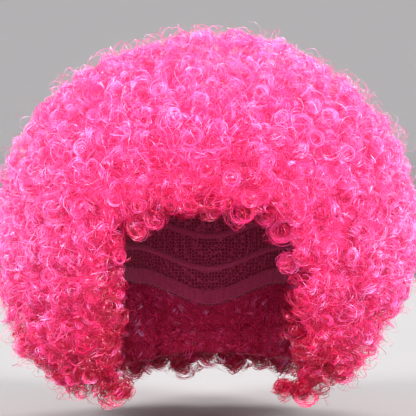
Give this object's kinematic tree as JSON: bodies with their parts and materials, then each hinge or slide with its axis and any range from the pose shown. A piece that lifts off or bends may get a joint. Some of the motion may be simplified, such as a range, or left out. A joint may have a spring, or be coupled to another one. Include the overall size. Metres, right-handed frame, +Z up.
{
  "type": "curly wig",
  "caption": "Round ball of tight ring curls sewn in rows to a stretch net cap with an elastic edge, open at the face and below, worn pulled down over the head.",
  "frame": {"origin": "where the top of the wearer's head meets the inside of the cap", "axes": "+Z up along the wearer's body, -Y the way the wearer faces, +X to the wearer's left"},
  "size_m": [0.3136, 0.2822, 0.272],
  "materials": {
    "hair": "satin synthetic fibre",
    "net": "matt stretch net",
    "elastic": "matt ribbed elastic"
  },
  "bodies": {
    "root": {"cap_net": "net", "edge_band": "elastic", "crown_curls": "hair", "weft_row_1": "hair", "weft_row_2": "hair", "weft_row_3": "hair", "fringe_curls": "hair", "weft_row_4": "hair", "weft_row_5": "hair", "side_curls_left": "hair", "nape_curls": "hair", "side_curls_right": "hair"}
  },
  "joints": []
}
